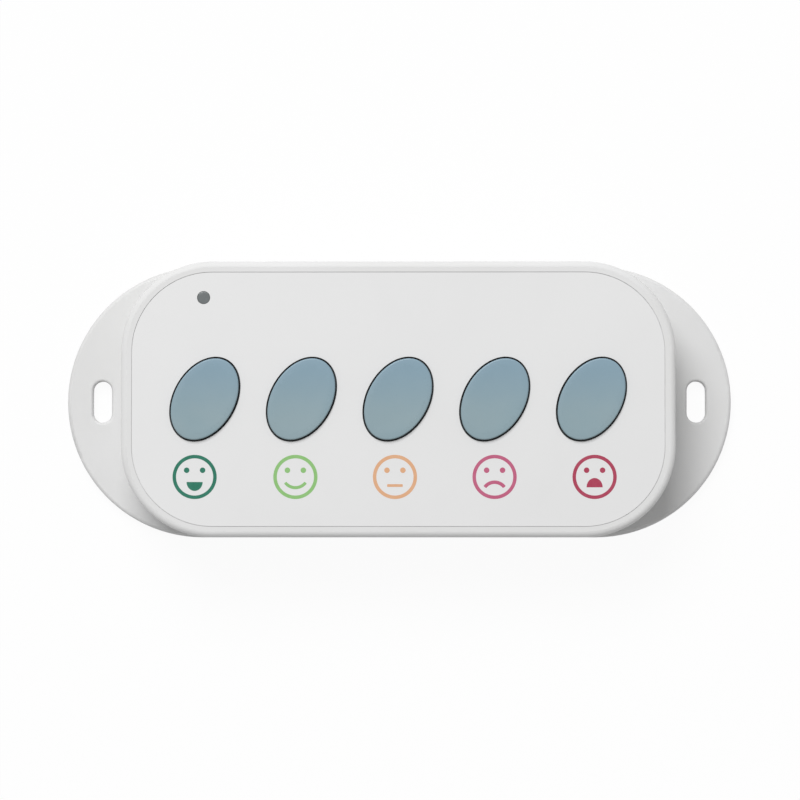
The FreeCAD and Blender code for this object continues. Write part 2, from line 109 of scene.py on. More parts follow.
class Tree:
    """A node tree, with short ways to add what the finishes are made of."""

    RELIEF_STRENGTH: ClassVar[float] = 0.6

    def __init__(self, tree: bpy.types.NodeTree) -> None:
        """Empties a tree and starts on it.

        Args:
            tree: The tree of a material, a world or a group.
        """
        self.tree = tree
        self.tree.nodes.clear()

    def add(self, kind: str, feeds: dict[str | int, Feed] | None = None,
            **settings: object) -> bpy.types.Node:
        """Adds a node.

        Args:
            kind: The node's type.
            feeds: A socket to link or a value to set, by input name or number.
            settings: Properties of the node itself.

        Returns:
            The new node.
        """
        node = self.tree.nodes.new(kind)
        for name, value in settings.items():
            setattr(node, name, value)
        for key, feed in (feeds or {}).items():
            if isinstance(feed, Socket):
                self.tree.links.new(feed, node.inputs[key])
            else:
                node.inputs[key].default_value = feed
        return node

    def place(self) -> Socket:
        """Object coordinates, in metres from the origin of the terminal."""
        return self.add("ShaderNodeTexCoord").outputs["Object"]

    def in_mm(self, place: Socket, axis: Axis) -> Socket:
        """One coordinate of a place, in millimetres."""
        metres = self.add("ShaderNodeSeparateXYZ", {0: place}).outputs[axis.value]
        return self.calculate("DIVIDE", metres, MM)

    def calculate(self, operation: str, a: Feed, b: Feed = 0.0) -> Socket:
        """Result of a calculation with one or two values."""
        return self.add("ShaderNodeMath", {0: a, 1: b}, operation=operation).outputs[0]

    def spread(self, value: Feed, start: Feed, end: Feed, low: Feed = 0.0, high: Feed = 1.0) -> Socket:
        """Value mapped smoothly from start and end to low and high."""
        feeds = {"Value": value, "From Min": start, "From Max": end, "To Min": low, "To Max": high}
        return self.add("ShaderNodeMapRange", feeds, interpolation_type="SMOOTHSTEP").outputs[0]

    def blend(self, share: Feed, a: Feed, b: Feed) -> Socket:
        """Colour a turned into colour b by a share."""
        # The node's inputs 6 and 7 and its output 2 are the ones for colours.
        return self.add("ShaderNodeMix", {0: share, 6: a, 7: b}, data_type="RGBA").outputs[2]

    def noise(self, place: Socket, size_mm: float, detail: float) -> Socket:
        """Cloudy value whose clouds are this size."""
        feeds = {"Vector": place, "Scale": per_metre(size_mm), "Detail": detail}
        return self.add("ShaderNodeTexNoise", feeds).outputs[0]

    def relief(self, height: Socket, depth_mm: float, below: Socket | None = None) -> Socket:
        """Normal of a height that is this deep, on top of another normal if there is one.

        Args:
            height: The height, from 0 to 1.
            depth_mm: Its depth.
            below: The normal that it lies on.

        Returns:
            The normal.
        """
        feeds = {"Height": height, "Distance": depth_mm * MM, "Strength": self.RELIEF_STRENGTH}
        if below is not None:
            feeds["Normal"] = below
        return self.add("ShaderNodeBump", feeds).outputs[0]

    def shared(self, effect: Effect, place: Socket, size_mm: float,
               feeds: dict[str, Feed] | None = None) -> Socket:
        """Places a shared effect with its own values.

        Args:
            effect: Which effect.
            place: Object coordinates.
            size_mm: Size of its pattern.
            feeds: Its other inputs, by name.

        Returns:
            What the effect puts out.
        """
        feeds = {"Vector": place, "Scale": per_metre(size_mm), **(feeds or {})}
        return self.add("ShaderNodeGroup", feeds, node_tree=EFFECTS.group(effect)).outputs[0]

    def drifting(self, place: Socket, size_mm: float, amount: float, colour: Rgb, tint: Rgb) -> Socket:
        """Colour that drifts to a second one by an amount of 0 to 1, in patches of this size."""
        feeds = {"Amount": amount, "Colour": linear(colour), "Tint": linear(tint)}
        return self.shared(Effect.DRIFT, place, size_mm, feeds)

    def rubbed(self, place: Socket, size_mm: float, clean: float, marked: float) -> Socket:
        """Roughness that goes from clean to marked, in patches of this size."""
        return self.shared(Effect.MARKS, place, size_mm, {"Clean": clean, "Marked": marked})

    def grained(self, place: Socket, size_mm: float, depth_mm: float, below: Socket | None = None) -> Socket:
        """Normal of a moulded grain of this size and depth."""
        return self.relief(self.shared(Effect.GRAIN, place, size_mm), depth_mm, below)

    def drawn(self, place: Socket, size_mm: float, depth_mm: float, length: float) -> Socket:
        """Normal of drawing lines of this width and depth, and this many times as long as wide."""
        return self.relief(self.shared(Effect.STROKES, place, size_mm, {"Length": length}), depth_mm)


# ---------------------------------------------------------------- effects that finishes share

class EffectShelf:
    """Builds each shared effect once, and keeps it."""

    VALUE: ClassVar[str] = "NodeSocketFloat"
    COLOUR: ClassVar[str] = "NodeSocketColor"
    PATTERN: ClassVar[dict[str, str]] = {"Vector": "NodeSocketVector", "Scale": VALUE}
    INPUTS: ClassVar[dict[Effect, dict[str, str]]] = {
        Effect.GRAIN: PATTERN,
        Effect.DRIFT: {**PATTERN, "Amount": VALUE, "Colour": COLOUR, "Tint": COLOUR},
        Effect.MARKS: {**PATTERN, "Clean": VALUE, "Marked": VALUE},
        Effect.STROKES: {**PATTERN, "Length": VALUE},
    }
    OUTPUTS: ClassVar[dict[Effect, dict[str, str]]] = {
        Effect.GRAIN: {"Height": VALUE},
        Effect.DRIFT: {"Colour": COLOUR},
        Effect.MARKS: {"Roughness": VALUE},
        Effect.STROKES: {"Height": VALUE},
    }

    def __init__(self) -> None:
        """Starts with no effect built."""
        self.built: dict[Effect, bpy.types.NodeTree] = {}

    def group(self, effect: Effect) -> bpy.types.NodeTree:
        """The node group of an effect.

        Args:
            effect: Which effect.

        Returns:
            Its node group, made on the first call.
        """
        if effect not in self.built:
            group = bpy.data.node_groups.new(effect.value, "ShaderNodeTree")
            tree = Tree(group)
            for direction, sockets in (("INPUT", self.INPUTS[effect]), ("OUTPUT", self.OUTPUTS[effect])):
                for name, kind in sockets.items():
                    group.interface.new_socket(name, in_out=direction, socket_type=kind)
            source = tree.add("NodeGroupInput").outputs
            make = {Effect.GRAIN: self.grain, Effect.DRIFT: self.drift,
                    Effect.MARKS: self.marks, Effect.STROKES: self.strokes}[effect]
            tree.add("NodeGroupOutput", {0: make(tree, source)})
            self.built[effect] = group
        return self.built[effect]

    @staticmethod
    def grain(tree: Tree, source: bpy.types.bpy_prop_collection) -> Socket:
        """Height of a spark-eroded mould: small pits on a finer noise.

        Args:
            tree: The group's tree.
            source: The group's inputs.

        Returns:
            The height, from 0 to 1.
        """
        pit_share = 0.6
        finer = 2.3
        pits = tree.add("ShaderNodeTexVoronoi", {"Vector": source["Vector"], "Scale": source["Scale"]},
                        feature="SMOOTH_F1")
        fine = tree.add("ShaderNodeTexNoise", {"Vector": source["Vector"], "Detail": 3.0,
                                               "Scale": tree.calculate("MULTIPLY", source["Scale"], finer)})
        return tree.calculate("ADD", tree.calculate("MULTIPLY", pits.outputs["Distance"], pit_share),
                              tree.calculate("MULTIPLY", fine.outputs[0], 1 - pit_share))

    @staticmethod
    def drift(tree: Tree, source: bpy.types.bpy_prop_collection) -> Socket:
        """Slow change from one tone to another, as in a moulded or printed batch.

        Args:
            tree: The group's tree.
            source: The group's inputs.

        Returns:
            The colour.
        """
        thin, dense = 0.32, 0.68
        cloud = tree.add("ShaderNodeTexNoise", {"Vector": source["Vector"], "Scale": source["Scale"],
                                                "Detail": 2.0, "Distortion": 0.4})
        share = tree.calculate("MULTIPLY", tree.spread(cloud.outputs[0], thin, dense), source["Amount"])
        return tree.blend(share, source["Colour"], source["Tint"])

    @staticmethod
    def marks(tree: Tree, source: bpy.types.bpy_prop_collection) -> Socket:
        """Roughness that goes from clean to faintly rubbed places.

        Args:
            tree: The group's tree.
            source: The group's inputs.

        Returns:
            The roughness.
        """
        untouched, worn = 0.35, 0.7
        rubbed = tree.add("ShaderNodeTexNoise", {"Vector": source["Vector"], "Scale": source["Scale"],
                                                 "Detail": 5.0, "Roughness": 0.6, "Distortion": 1.1})
        return tree.spread(rubbed.outputs[0], untouched, worn, source["Clean"], source["Marked"])

    @staticmethod
    def strokes(tree: Tree, source: bpy.types.bpy_prop_collection) -> Socket:
        """Height of fine drawing lines along X, on plated sheet and wire.

        Args:
            tree: The group's tree.
            source: The group's inputs.

        Returns:
            The height, from 0 to 1.
        """
        parts = tree.add("ShaderNodeSeparateXYZ", {0: source["Vector"]}).outputs
        drawn = tree.add("ShaderNodeCombineXYZ", {0: tree.calculate("DIVIDE", parts[0], source["Length"]),
                                                  1: parts[1], 2: parts[2]})
        lines = tree.add("ShaderNodeTexNoise", {"Vector": drawn.outputs[0], "Scale": source["Scale"],
                                                "Detail": 4.0})
        return lines.outputs[0]


EFFECTS = EffectShelf()


# ---------------------------------------------------------------- finishes

@dataclass(frozen=True)
class Finish:
    """A surface that makes its material once.

    Attributes:
        name: The material's name.
        colour: Its main colour.
    """

    name: str
    colour: Rgb

    def material(self) -> bpy.types.Material:
        """Makes the finish's material on the first call, and finds it on the next ones.

        Returns:
            The material.
        """
        found = bpy.data.materials.get(self.name)
        if found is None:
            found = bpy.data.materials.new(self.name)
            found.use_nodes = True
            found.diffuse_color = linear(self.colour)
            tree = Tree(found.node_tree)
            shader = tree.add("ShaderNodeBsdfPrincipled", self.surface(tree, tree.place()))
            tree.add("ShaderNodeOutputMaterial", {"Surface": shader.outputs[0]})
            LOG.info("finish %s", self.name)
        return found

    def surface(self, tree: Tree, place: Socket) -> dict[str, Feed]:
        """Builds what feeds the shader.

        Args:
            tree: The material's tree.
            place: Object coordinates.

        Returns:
            The shader's feeds, by input name.
        """
        raise NotImplementedError


@dataclass(frozen=True)
class MouldedPlastic(Finish):
    """Injection-moulded plastic with a spark-eroded grain.

    Attributes:
        tint: The tone that its colour drifts to.
        drift: How far it drifts, 0 to 1.
        drift_mm: Size of the drifting patches.
        grain_mm: Size of the grain's pits.
        grain_depth_mm: Depth of the grain.
        clean: Roughness where nothing has rubbed it.
        marked: Roughness where hands have.
    """

    tint: Rgb
    drift: float = 0.5
    drift_mm: float = 30.0
    grain_mm: float = 0.16
    grain_depth_mm: float = 0.004
    clean: float = 0.5
    marked: float = 0.42

    def tone(self, tree: Tree, place: Socket) -> Socket:
        """The plastic's drifting colour."""
        return tree.drifting(place, self.drift_mm, self.drift, self.colour, self.tint)

    def surface(self, tree: Tree, place: Socket) -> dict[str, Feed]:
        """Builds grain, drifting tone and handling marks.

        Args:
            tree: The material's tree.
            place: Object coordinates.

        Returns:
            The shader's feeds, by input name.
        """
        return {
            "Base Color": self.tone(tree, place),
            "Roughness": tree.rubbed(place, self.drift_mm / 2, self.clean, self.marked),
            "IOR": 1.5,
            "Normal": tree.grained(place, self.grain_mm, self.grain_depth_mm),
        }


@dataclass(frozen=True)
class KeyPlastic(MouldedPlastic):
    """Plastic of the caps, with painted shade on their side wall and flange and a painted reflection to the
    top.

    Attributes:
        painted_reflection: Painted reflection, the cooler tone that the top end of a cap leans to.
        painted_reflection_from_mm: Height on the terminal's face where the painted reflection starts.
        painted_reflection_to_mm: Height where it is full.
        painted_skirt_shade: Painted shade on side wall and flange, standing for the shadowed gap round the
            cap.
        painted_shade_z_mm: Height below which the painted shade starts, from the terminal's back.
        painted_shade_fade_mm: Depth over which the colours change there.
    """

    painted_reflection: Rgb = (127, 154, 169)
    painted_reflection_from_mm: float = -5.4
    painted_reflection_to_mm: float = 9.0
    painted_skirt_shade: Rgb = (64, 75, 79)
    painted_shade_z_mm: float = 26.0
    painted_shade_fade_mm: float = 0.2

    def tone(self, tree: Tree, place: Socket) -> Socket:
        """Builds the drifting colour, a painted reflection cooler to the top and painted shade below the
        edge.

        Args:
            tree: The material's tree.
            place: Object coordinates.

        Returns:
            The colour.
        """
        # Painted reflection: the caps turn cooler towards the top, as from a bluish reflection.
        raised = tree.spread(tree.in_mm(place, Axis.Y), self.painted_reflection_from_mm, self.painted_reflection_to_mm)
        cap = tree.blend(raised, super().tone(tree, place), linear(self.painted_reflection))
        # Painted shade: below the edge the cap's side wall and flange turn dark, standing for the shadowed
        # gap round each cap.
        deep = tree.spread(tree.in_mm(place, Axis.Z), self.painted_shade_z_mm, self.painted_shade_z_mm - self.painted_shade_fade_mm)
        return tree.blend(deep, cap, linear(self.painted_skirt_shade))


@dataclass(frozen=True)
class PrintedFilm(Finish):
    """Matt film with a velvet texture that is finer than the grain of the mouldings.

    Attributes:
        tint: The tone that the film drifts to.
        velvet_mm: Size of the film's texture.
        velvet_depth_mm: Its depth.
        wave_mm: Size of the slow wave where the adhesive below isn't quite even.
        wave_depth_mm: Its depth.
    """

    tint: Rgb
    velvet_mm: float = 0.07
    velvet_depth_mm: float = 0.002
    wave_mm: float = 25.0
    wave_depth_mm: float = 0.03

    def surface(self, tree: Tree, place: Socket) -> dict[str, Feed]:
        """Builds the film on its bed of adhesive.

        Args:
            tree: The material's tree.
            place: Object coordinates.

        Returns:
            The shader's feeds, by input name.
        """
        bed = tree.relief(tree.noise(place, self.wave_mm, detail=1.0), self.wave_depth_mm)
        return {
            "Base Color": tree.drifting(place, size_mm=45, amount=0.5, colour=self.colour, tint=self.tint),
            "Roughness": tree.rubbed(place, size_mm=18, clean=0.46, marked=0.36),
            "IOR": 1.55,
            "Normal": tree.grained(place, self.velvet_mm, self.velvet_depth_mm, below=bed),
        }


@dataclass(frozen=True)
class ScreenInk(Finish):
    """Screen-printed ink, a shade thinner where the mesh of the screen held it back.

    Attributes:
        film: Level of the film below, which shows through thin ink.
        thinning: How much of it shows.
    """

    film: int = 238
    thinning: float = 0.09

    def surface(self, tree: Tree, place: Socket) -> dict[str, Feed]:
        """Builds the ink's density and its faint weave.

        Args:
            tree: The material's tree.
            place: Object coordinates.

        Returns:
            The shader's feeds, by input name.
        """
        thin = tuple(round(c + (self.film - c) * self.thinning) for c in self.colour)
        return {
            "Base Color": tree.drifting(place, size_mm=1.3, amount=0.6, colour=self.colour, tint=thin),
            "Roughness": tree.rubbed(place, size_mm=4, clean=0.5, marked=0.4),
            "IOR": 1.4,
            "Normal": tree.grained(place, size_mm=0.09, depth_mm=0.002),
        }


@dataclass(frozen=True)
class SmokedLens(Finish):
    """Smoked clear plastic, polished on its face and cloudy inside.

    Attributes:
        core: The colour seen in the middle of the lens.
    """

    core: Rgb

    def surface(self, tree: Tree, place: Socket) -> dict[str, Feed]:
        """Builds the cloudy body under a gloss coat.

        Args:
            tree: The material's tree.
            place: Object coordinates.

        Returns:
            The shader's feeds, by input name.
        """
        return {
            "Base Color": tree.drifting(place, size_mm=1.6, amount=0.8, colour=self.colour, tint=self.core),
            "Roughness": tree.rubbed(place, size_mm=1.2, clean=0.16, marked=0.3),
            "IOR": 1.49,
            "Coat Weight": 0.6,
            "Coat Roughness": 0.08,
            "Normal": tree.grained(place, size_mm=0.12, depth_mm=0.001),
        }


@dataclass(frozen=True)
class PlatedMetal(Finish):
    """Plated steel or bronze, with drawing lines and a cloudy bath finish.

    Attributes:
        tint: The tone that the plating drifts to.
        line_mm: Width of the drawing lines.
        clean: Roughness of the clear plating.
        marked: Roughness where it is cloudy.
    """

    tint: Rgb
    line_mm: float = 0.08
    clean: float = 0.26
    marked: float = 0.46

    def surface(self, tree: Tree, place: Socket) -> dict[str, Feed]:
        """Builds the plating.

        Args:
            tree: The material's tree.
            place: Object coordinates.

        Returns:
            The shader's feeds, by input name.
        """
        return {
            "Base Color": tree.drifting(place, size_mm=2.2, amount=0.7, colour=self.colour, tint=self.tint),
            "Metallic": 1.0,
            "Roughness": tree.rubbed(place, size_mm=1.5, clean=self.clean, marked=self.marked),
            "Normal": tree.drawn(place, self.line_mm, depth_mm=0.003, length=12.0),
        }


@dataclass(frozen=True)
class SolderMask(Finish):
    """Circuit board: copper runs under solder mask, and tinned pads.

    Attributes:
        run: Colour of the mask over copper.
        pad: Colour of the tinned pads.
        run_mm: Distance between runs.
        scatter: How irregular their places are, 0 to 1.
        run_edge: Where a run ends, from the middle of its cell.
        run_fade: Width of that edge.
        pad_edge: Where a pad ends.
        pad_fade: Width of that edge.
        mask_sink: How far the mask lies below a pad, as a share of the relief.
        relief_mm: Depth of the relief.
        weave_mm: Size of the glass weave.
        weave_share: How much it darkens the mask.
    """

    run: Rgb
    pad: Rgb = (196, 194, 188)
    run_mm: float = 2.6
    scatter: float = 0.55
    run_edge: float = 0.3
    run_fade: float = 0.03
    pad_edge: float = 0.14
    pad_fade: float = 0.02
    mask_sink: float = 0.5
    relief_mm: float = 0.02
    weave_mm: float = 0.45
    weave_share: float = 0.06

    def surface(self, tree: Tree, place: Socket) -> dict[str, Feed]:
        """Builds runs, pads and the glass weave below them.

        Args:
            tree: The material's tree.
            place: Object coordinates.

        Returns:
            The shader's feeds, by input name.
        """
        layout = {"Vector": place, "Scale": per_metre(self.run_mm), "Randomness": self.scatter}
        cells = tree.add("ShaderNodeTexVoronoi", layout, distance="CHEBYCHEV").outputs["Distance"]
        mask = tree.spread(cells, self.run_edge, self.run_edge + self.run_fade)
        pads = tree.spread(cells, self.pad_edge, self.pad_edge - self.pad_fade)
        glass = tree.add("ShaderNodeTexChecker", {"Vector": place, "Scale": per_metre(self.weave_mm)})
        weave = tree.calculate("MULTIPLY", glass.outputs["Fac"], self.weave_share)
        painted = tree.blend(mask, linear(self.run), linear(self.colour))
        height = tree.calculate("ADD", tree.calculate("MULTIPLY", mask, -self.mask_sink), pads)
        return {
            "Base Color": tree.blend(pads, tree.blend(weave, painted, BLACK), linear(self.pad)),
            "Metallic": pads,
            "Roughness": tree.spread(cells, start=0.0, end=0.8, low=0.28, high=0.38),
            "Normal": tree.relief(height, self.relief_mm),
        }


@dataclass(frozen=True)
class CellJacket(Finish):
    """Printed jacket of a dry cell, with a band at the plus end and bare metal at both.

    Attributes:
        tint: The tone that the jacket drifts to.
        band: Colour of the band.
        bare: Colour of the bare ends.
        plus: 1 where the plus end points along +X, -1 where it points along -X.
        band_from_mm: Where the band starts, from the middle of the cell.
        bare_from_mm: Where the bare ends start.
        edge_mm: Width over which the colours change.
        band_metal: How metallic the band's print is, 0 to 1.
    """

    tint: Rgb = (84, 88, 94)
    band: Rgb = (176, 118, 66)
    bare: Rgb = (190, 188, 182)
    plus: float = 1.0
    band_from_mm: float = 12.5
    bare_from_mm: float = 24.4
    edge_mm: float = 0.1
    band_metal: float = 0.7

    def surface(self, tree: Tree, place: Socket) -> dict[str, Feed]:
        """Builds jacket, band and ends from the place along the cell.

        Args:
            tree: The material's tree.
            place: Object coordinates.

        Returns:
            The shader's feeds, by input name.
        """
        along = tree.calculate("MULTIPLY", tree.in_mm(place, Axis.X), self.plus)
        from_middle = tree.calculate("ABSOLUTE", along)
        banded = tree.spread(along, self.band_from_mm, self.band_from_mm + self.edge_mm)
        ends = tree.spread(from_middle, self.bare_from_mm, self.bare_from_mm + self.edge_mm)
        printed = tree.drifting(place, size_mm=9, amount=0.3, colour=self.colour, tint=self.tint)
        jacket = tree.blend(banded, printed, linear(self.band))
        return {
            "Base Color": tree.blend(ends, jacket, linear(self.bare)),
            "Metallic": tree.calculate("MAXIMUM", ends, tree.calculate("MULTIPLY", banded, self.band_metal)),
            "Roughness": tree.rubbed(place, size_mm=5, clean=0.26, marked=0.4),
            "Normal": tree.drawn(place, size_mm=0.3, depth_mm=0.003, length=8.0),
        }


@dataclass(frozen=True)
class LightChip(Finish):
    """White body of a surface-mounted light, with yellow phosphor in its cup.

    Attributes:
        phosphor: Colour of the phosphor.
        cup_mm: Radius of the cup.
        cup_edge: Share of that radius where the cup's edge starts.
    """

    phosphor: Rgb = (224, 206, 84)
    cup_mm: float = 1.3
    cup_edge: float = 0.97

    def surface(self, tree: Tree, place: Socket) -> dict[str, Feed]:
        """Builds body and phosphor round the middle of the chip.

        Args:
            tree: The material's tree.
            place: Object coordinates.

        Returns:
            The shader's feeds, by input name.
        """
        low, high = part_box("status_led")
        middle = tuple((low + high) / 2)
        level = (1, 1, 0)
        off_middle = tree.add("ShaderNodeVectorMath", {0: place, 1: middle}, operation="SUBTRACT")
        flat = tree.add("ShaderNodeVectorMath", {0: off_middle.outputs[0], 1: level}, operation="MULTIPLY")
        reach = tree.add("ShaderNodeVectorMath", {0: flat.outputs[0]}, operation="LENGTH").outputs["Value"]
        cup = tree.spread(reach, self.cup_mm * MM, self.cup_mm * self.cup_edge * MM)
        return {
            "Base Color": tree.blend(cup, linear(self.colour), linear(self.phosphor)),
            "Roughness": tree.rubbed(place, size_mm=1, clean=0.35, marked=0.5),
            "Normal": tree.grained(place, size_mm=0.1, depth_mm=0.003),
        }


@dataclass(frozen=True)
class PinRow(Finish):
    """Header: moulded black base with gold-flashed pins under it.

    Attributes:
        pins: Colour of the pins.
        base_mm: Height of the base, from the board.
        edge_mm: Half of the height over which the colours change.
    """

    pins: Rgb = (206, 172, 100)
    base_mm: float = 2.54
    edge_mm: float = 0.01

    def surface(self, tree: Tree, place: Socket) -> dict[str, Feed]:
        """Builds base and pins from the place below the board.

        Args:
            tree: The material's tree.
            place: Object coordinates.

        Returns:
            The shader's feeds, by input name.
        """
        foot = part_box("service_header")[1].z / MM - self.base_mm
        pin = tree.spread(tree.in_mm(place, Axis.Z), foot + self.edge_mm, foot - self.edge_mm)
        return {
            "Base Color": tree.blend(pin, linear(self.colour), linear(self.pins)),
            "Metallic": pin,
            "Roughness": tree.rubbed(place, size_mm=1, clean=0.4, marked=0.28),
            "Normal": tree.grained(place, size_mm=0.14, depth_mm=0.004),
        }


COVER_ABS = MouldedPlastic("cover_abs", (222, 222, 222), tint=(218, 218, 217), drift=0.6, drift_mm=34,
                           clean=0.62, marked=0.52)
# Painted shade: the rear shell, ears and all, gets a darker copy of the cover's white, not a plastic of its
# own.
SHADED_SHELL_ABS = replace(COVER_ABS, name="shaded_shell_abs", colour=(217, 217, 217), tint=(213, 213, 212))
WHITE_FILM = PrintedFilm("white_film", (226, 226, 226), tint=(223, 223, 223))
KEY_ABS = KeyPlastic("key_abs", (133, 156, 164), tint=(137, 158, 165), drift=1.0, drift_mm=11,
                     grain_mm=0.12, grain_depth_mm=0.002, clean=0.42, marked=0.35)
PLUNGER_NYLON = MouldedPlastic("plunger_nylon", (208, 207, 200), tint=(198, 197, 188), drift_mm=3,
                               grain_mm=0.1, clean=0.45, marked=0.35)
SWITCH_BLACK = MouldedPlastic("switch_black", (42, 42, 44), tint=(54, 54, 56), drift_mm=4, grain_mm=0.14)
HOLDER_BLACK = MouldedPlastic("holder_black", (38, 38, 40), tint=(50, 50, 52), drift_mm=12, grain_mm=0.2,
                              grain_depth_mm=0.01)
SOUNDER_BLACK = MouldedPlastic("sounder_black", (34, 34, 36), tint=(44, 44, 47), drift_mm=6, grain_mm=0.3,
                               grain_depth_mm=0.012)
WIRE_JACKET = MouldedPlastic("wire_jacket", (58, 58, 62), tint=(72, 72, 76), drift_mm=5, grain_mm=0.3,
                             clean=0.32, marked=0.24)
LENS_SMOKE = SmokedLens("lens_smoke", (94, 99, 100), core=(102, 108, 109))
ZINC_STEEL = PlatedMetal("zinc_steel", (200, 201, 204), tint=(184, 186, 188))
NICKEL_SPRING = PlatedMetal("nickel_spring", (208, 202, 190), tint=(192, 186, 172), line_mm=0.05)
TINNED_STEEL = PlatedMetal("tinned_steel", (206, 207, 208), tint=(188, 190, 192), clean=0.3, marked=0.5)
BOARD_GREEN = SolderMask("board_green_mask", (22, 92, 58), run=(30, 116, 74))
RADIO_BLUE = SolderMask("radio_mask", (20, 56, 96), run=(28, 74, 122), run_mm=1.5)
LIGHT_BODY = LightChip("light_body", (232, 231, 224))
HEADER_PINS = PinRow("header_pins", (36, 36, 38))
CELL_PLUS_RIGHT = CellJacket("cell_jacket_right", (52, 55, 60), plus=1.0)
CELL_PLUS_LEFT = CellJacket("cell_jacket_left", (52, 55, 60), plus=-1.0)


# ---------------------------------------------------------------- turned and oval pieces

@dataclass(frozen=True)
class Ring:
    """One oval ring of a piece.

    Attributes:
        long: Half of its length.
        short: Half of its width.
        z: Its height.
    """

    long: float
    short: float
    z: float


def round_ring(radius: float, z: float) -> Ring:
    """A ring that is round."""
    return Ring(radius, radius, z)


def edge_round(long: float, short: float, top_z: float, radius: float, bands: int) -> list[Ring]:
    """Rings of a rounded edge, from the flat that it starts on down to the side wall.

    Args:
        long: Half of the side wall's length.
        short: Half of its width.
        top_z: Height of the flat.
        radius: Radius of the round.
        bands: Number of bands in it.

    Returns:
        The rings, from the top down.
    """
    turns = (math.radians(90 * band / bands) for band in range(bands + 1))
    return [Ring(long - radius * (1 - math.sin(t)), short - radius * (1 - math.sin(t)),
                 top_z - radius * (1 - math.cos(t))) for t in turns]


def ring_body(rings: list[Ring], segments: int, first_open: bool = False) -> Mesh:
    """A closed piece through a row of rings.

    Args:
        rings: The rings, from the middle of one face to the middle of the other.
        segments: Points in each ring.
        first_open: Leaves the first ring without its face.

    Returns:
        The mesh, about the Z axis.
    """
    mesh = bmesh.new()
    bmesh.ops.create_circle(mesh, cap_ends=not first_open, segments=segments, radius=MM)
    loop = list(mesh.edges)
    bmesh.ops.scale(mesh, vec=(rings[0].long, rings[0].short, 1), verts=mesh.verts)
    bmesh.ops.translate(mesh, vec=(0, 0, rings[0].z * MM), verts=mesh.verts)
    for before, ring in zip(rings, rings[1:]):
        made = bmesh.ops.extrude_edge_only(mesh, edges=loop)["geom"]
        points = [part for part in made if isinstance(part, bmesh.types.BMVert)]
        edges = [part for part in made if isinstance(part, bmesh.types.BMEdge)]
        loop = [edge for edge in edges if set(points).issuperset(edge.verts)]
        bmesh.ops.scale(mesh, vec=(ring.long / before.long, ring.short / before.short, 1), verts=points)
        bmesh.ops.translate(mesh, vec=(0, 0, (ring.z - before.z) * MM), verts=points)
    bmesh.ops.contextual_create(mesh, geom=loop)
    return mesh


# ---------------------------------------------------------------- flat drawn shapes

def drawn_arc(radius: float, stroke: float, start: float, end: float) -> Mesh:
    """A drawn arc or ring.

    Args:
        radius: Radius of its middle line.
        stroke: Width of the line.
        start: Angle that it starts at, in degrees from +X.
        end: Angle that it ends at.

    Returns:
        The flat mesh, about the origin.
    """
    degrees_per_step = 3.75
    sweep = end - start
    mesh = bmesh.new()
    nib = [mesh.verts.new(((radius + side * stroke / 2) * MM, 0, 0)) for side in (-1, 1)]
    line = mesh.edges.new(nib)
    bmesh.ops.rotate(mesh, cent=(0, 0, 0), matrix=Matrix.Rotation(math.radians(start), 3, "Z"), verts=nib)
    bmesh.ops.spin(mesh, geom=[*nib, line], cent=(0, 0, 0), axis=(0, 0, 1), dvec=(0, 0, 0),
                   angle=math.radians(sweep), steps=round(sweep / degrees_per_step), use_merge=sweep == 360)
    return mesh


def soften_ends(mesh: Mesh, offset: float) -> None:
    """Rounds the corners that a flat stroke has at its ends.

    Args:
        mesh: The flat mesh, changed in place.
        offset: How far back from each corner the round starts.
    """
    corners = [v for v in mesh.verts if len(v.link_faces) == 1]
    bmesh.ops.bevel(mesh, geom=corners, affect="VERTICES", offset=offset * MM, segments=6, profile=0.5,
                    material=-1)


def thicken(mesh: Mesh, height: float) -> None:
    """Gives a flat mesh its thickness, upwards.

    Args:
        mesh: The flat mesh, changed in place.
        height: Its thickness.
    """
    made = bmesh.ops.extrude_face_region(mesh, geom=mesh.faces[:], use_keep_orig=True)["geom"]
    raised = [part for part in made if isinstance(part, bmesh.types.BMVert)]
    bmesh.ops.translate(mesh, vec=(0, 0, height * MM), verts=raised)


# ---------------------------------------------------------------- pieces

def add_mesh(target: Mesh, part: Mesh) -> None:
    """Adds a mesh to another and frees it.

    Args:
        target: The mesh that grows.
        part: The mesh that is added.
    """
    data = bpy.data.meshes.new("part")
    part.to_mesh(data)
    part.free()
    target.from_mesh(data)
    bpy.data.meshes.remove(data)


def settle_order(mesh: Mesh) -> None:
    """Sorts the points, edges and faces of a mesh by their place, so that each run numbers them alike.

    Args:
        mesh: The mesh, sorted in place.
    """
    for parts, key in ((mesh.verts, lambda point: tuple(point.co)),
                       (mesh.edges, lambda edge: sorted(point.index for point in edge.verts)),
                       (mesh.faces, lambda face: sorted(point.index for point in face.verts))):
        for index, part in enumerate(sorted(parts, key=key)):
            part.index = index
        parts.sort()


